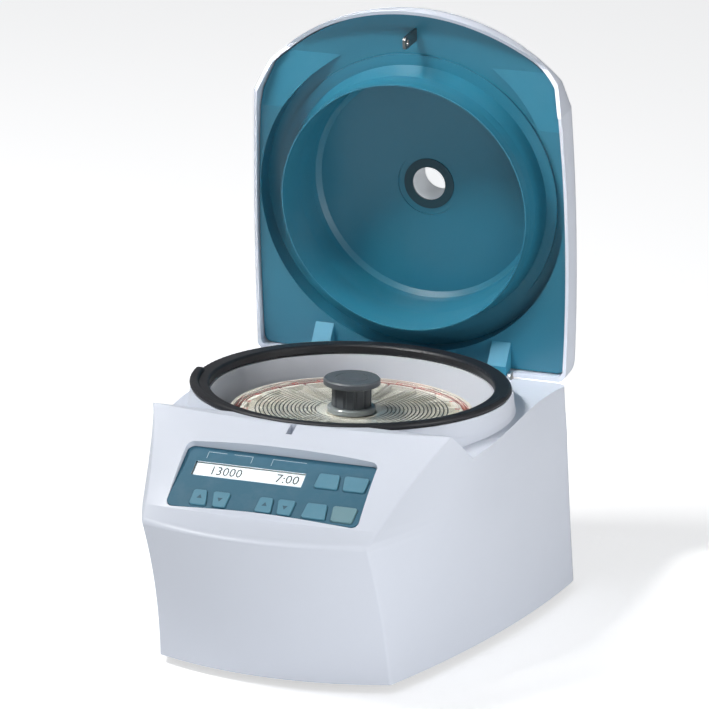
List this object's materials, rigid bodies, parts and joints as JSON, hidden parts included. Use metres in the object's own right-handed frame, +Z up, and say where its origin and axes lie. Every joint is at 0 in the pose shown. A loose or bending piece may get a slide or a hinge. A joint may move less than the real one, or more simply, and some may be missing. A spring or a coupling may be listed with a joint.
{
  "type": "hematocrit centrifuge",
  "caption": "Bench centrifuge for capillary tubes: sloped key panel, lidded round bowl with a slotted rotor under a clear reading cover, hinged lid standing open.",
  "frame": {"origin": "on the bench, under the middle of the whole object with its lid open; the rotor's axis stands 5.9 mm behind it", "axes": "+Z up, the control panel faces -Y, +X to the right seen from the front"},
  "size_m": [0.2606, 0.399, 0.4149],
  "materials": {
    "housing_plastic": "fine-grained, light grey",
    "teal_plastic": "metallic teal moulding",
    "black_rubber": "smooth black rubber",
    "red_rubber": "reddish rubber gasket",
    "bowl_paint": "light grey paint",
    "painted_steel": "light grey paint",
    "zinc_steel": "zinc-plated",
    "bright_steel": "ground",
    "motor_metal": "die-cast",
    "rotor_plastic": "cream",
    "clear_plastic": "clear acrylic",
    "knob_plastic": "dark grey",
    "black_plastic": "black",
    "display_glass": "clear window",
    "display_face": "liquid crystal face",
    "key_plastic": "pale grey",
    "stop_key_plastic": "pale grey-green",
    "board_green": "circuit board",
    "transformer_iron": "varnished laminations",
    "pin_brass": "plain"
  },
  "bodies": {
    "base": {"housing": "housing_plastic", "base_plate": "zinc_steel", "foot_front_left": "black_rubber", "foot_front_right": "black_rubber", "foot_rear_left": "black_rubber", "foot_rear_right": "black_rubber", "base_screws": "zinc_steel", "rear_panel": "painted_steel", "bowl": "bowl_paint", "seal_ring": "black_rubber", "motor_body": "motor_metal", "motor_plate": "zinc_steel", "damper_1": "black_rubber", "damper_2": "black_rubber", "damper_3": "black_rubber", "bearing_upper": "bright_steel", "bearing_lower": "bright_steel", "shaft_seal": "black_rubber", "hinge_pin_left": "bright_steel", "hinge_pin_right": "bright_steel", "hinge_bracket_left": "zinc_steel", "hinge_bracket_right": "zinc_steel", "lock_body": "black_plastic", "control_plate": "teal_plastic", "display_window": "display_glass", "display_module": "display_face", "key_board": "board_green", "main_board": "board_green", "transformer": "transformer_iron", "power_inlet": "black_plastic", "inlet_pins": "pin_brass", "fuse_holder": "black_plastic", "power_switch_frame": "black_plastic"},
    "rotor": {"motor_shaft": "bright_steel", "rotor": "rotor_plastic", "rotor_gasket": "red_rubber", "reading_cover": "clear_plastic", "clear_collar": "clear_plastic"},
    "knob": {"knob": "knob_plastic"},
    "lid": {"lid_shell": "housing_plastic", "lid_liner": "teal_plastic", "hinge_arm_left": "teal_plastic", "hinge_arm_right": "teal_plastic", "port_window": "clear_plastic", "port_sleeve": "housing_plastic", "port_grommet": "black_rubber", "latch_hook": "bright_steel"},
    "key_speed_up": {"key_speed_up": "key_plastic"},
    "key_speed_down": {"key_speed_down": "key_plastic"},
    "key_time_up": {"key_time_up": "key_plastic"},
    "key_time_down": {"key_time_down": "key_plastic"},
    "key_select": {"key_select": "key_plastic"},
    "key_stop": {"key_stop": "stop_key_plastic"},
    "key_short": {"key_short": "key_plastic"},
    "key_start": {"key_start": "key_plastic"},
    "rocker": {"power_switch": "black_plastic"},
    "bolt": {"lock_bolt": "bright_steel"}
  },
  "joints": [
    {"name": "rotor_spin", "type": "hinge", "parent": "base", "child": "rotor", "pos_m": [0, 0.0059, 0.14], "axis": [0, 0, 1], "continuous": true},
    {"name": "knob_turn", "type": "hinge", "parent": "rotor", "child": "knob", "pos_m": [0, 0.0059, 0.165], "axis": [0, 0, 1], "range_deg": [0, 360]},
    {"name": "lid_hinge", "type": "hinge", "parent": "base", "child": "lid", "pos_m": [0, 0.13, 0.1504], "axis": [1, 0, 0], "range_deg": [0, 84.3]},
    {"name": "key_speed_up_press", "type": "slide", "parent": "base", "child": "key_speed_up", "axis": [0, 0.5425, -0.8401], "range_m": [0, 0.0008], "stiffness_N_per_m": 400, "springref_m": -0.001},
    {"name": "key_speed_down_press", "type": "slide", "parent": "base", "child": "key_speed_down", "axis": [0, 0.5425, -0.8401], "range_m": [0, 0.0008], "stiffness_N_per_m": 400, "springref_m": -0.001},
    {"name": "key_time_up_press", "type": "slide", "parent": "base", "child": "key_time_up", "axis": [0, 0.5425, -0.8401], "range_m": [0, 0.0008], "stiffness_N_per_m": 400, "springref_m": -0.001},
    {"name": "key_time_down_press", "type": "slide", "parent": "base", "child": "key_time_down", "axis": [0, 0.5425, -0.8401], "range_m": [0, 0.0008], "stiffness_N_per_m": 400, "springref_m": -0.001},
    {"name": "key_select_press", "type": "slide", "parent": "base", "child": "key_select", "axis": [0, 0.5425, -0.8401], "range_m": [0, 0.0008], "stiffness_N_per_m": 400, "springref_m": -0.001},
    {"name": "key_stop_press", "type": "slide", "parent": "base", "child": "key_stop", "axis": [0, 0.5425, -0.8401], "range_m": [0, 0.0008], "stiffness_N_per_m": 400, "springref_m": -0.001},
    {"name": "key_short_press", "type": "slide", "parent": "base", "child": "key_short", "axis": [0, 0.5425, -0.8401], "range_m": [0, 0.0008], "stiffness_N_per_m": 400, "springref_m": -0.001},
    {"name": "key_start_press", "type": "slide", "parent": "base", "child": "key_start", "axis": [0, 0.5425, -0.8401], "range_m": [0, 0.0008], "stiffness_N_per_m": 400, "springref_m": -0.001},
    {"name": "rocker_tilt", "type": "hinge", "parent": "base", "child": "rocker", "pos_m": [-0.006, 0.1389, 0.039], "axis": [1, 0, 0], "range_deg": [0, 14]},
    {"name": "bolt_slide", "type": "slide", "parent": "base", "child": "bolt", "axis": [1, 0, 0], "range_m": [0, 0.009]}
  ]
}
